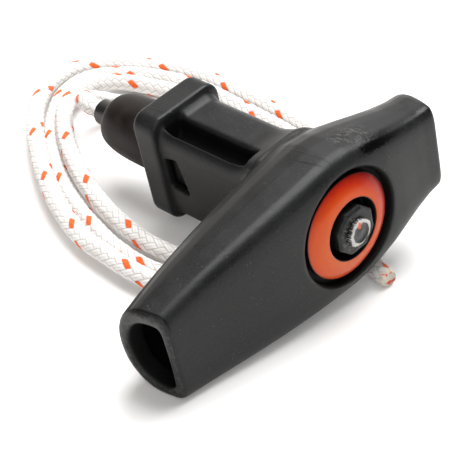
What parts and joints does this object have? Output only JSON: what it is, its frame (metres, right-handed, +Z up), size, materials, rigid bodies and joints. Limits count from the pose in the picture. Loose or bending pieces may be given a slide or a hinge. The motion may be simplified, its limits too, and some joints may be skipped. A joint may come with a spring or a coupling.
{
  "type": "recoil starter handle",
  "caption": "Hollow T-shaped pull grip with a damped rope anchor behind a domed label ring, a rubber nose and a braided starter rope lying in loose loops.",
  "frame": {"origin": "on the surface that the handle lies on, under the middle of the handle without its free rope", "axes": "+Z up; +X along the bar towards its short arm; +Y along the neck, away from the label, the way the rope leaves"},
  "size_m": [0.11, 0.1359, 0.0418],
  "materials": {
    "black_plastic": "satin moulded nylon",
    "orange_label": "domed resin, orange to red",
    "anchor_plastic": "satin",
    "inner_braid": "braided, melted end",
    "nose_rubber": "matt with a slight sheen",
    "tip_plastic": "satin",
    "braided_rope": "white braid with orange flecks",
    "washer_steel": "plain",
    "damper_rubber": "matt"
  },
  "bodies": {
    "grip": {"grip_body": "black_plastic", "label_ring": "orange_label", "nose_sleeve": "nose_rubber", "guide_tip": "tip_plastic", "damper_sleeve": "damper_rubber"},
    "rope": {"rope_anchor": "anchor_plastic", "pressure_washer": "washer_steel", "inner_rope": "inner_braid", "starter_rope": "braided_rope"}
  },
  "joints": [
    {"name": "damper_pull", "type": "slide", "parent": "grip", "child": "rope", "axis": [0, 0.9973, -0.0732], "range_m": [0, 0.006], "stiffness_N_per_m": 8000, "deforming": ["damper_sleeve"]}
  ]
}
